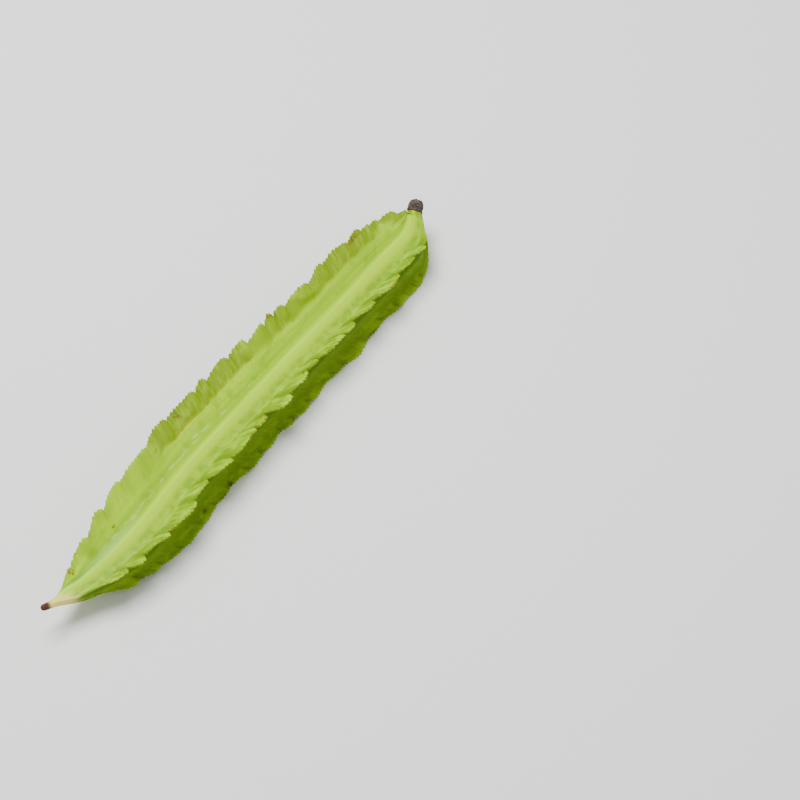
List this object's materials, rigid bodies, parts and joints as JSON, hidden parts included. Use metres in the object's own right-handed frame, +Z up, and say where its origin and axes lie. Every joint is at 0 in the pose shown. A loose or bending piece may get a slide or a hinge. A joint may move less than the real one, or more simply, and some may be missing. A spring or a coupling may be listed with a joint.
{
  "type": "winged bean pod",
  "caption": "Fresh winged bean pod: long green four-angled body, four toothed and ruffled wings, a pointed beak and a dry brown calyx at the stem end.",
  "frame": {"origin": "middle of the pod's box, on the table plane that the two lower wings rest on", "axes": "+X runs along the pod from the beak to the stem end, +Z is up as the pod lies on its two lower wings"},
  "size_m": [0.1938, 0.0312, 0.0222],
  "materials": {
    "pod_skin": "waxy satin",
    "dry_calyx": "rough, dry"
  },
  "bodies": {
    "root": {"pod": "pod_skin", "calyx": "dry_calyx"}
  },
  "joints": []
}
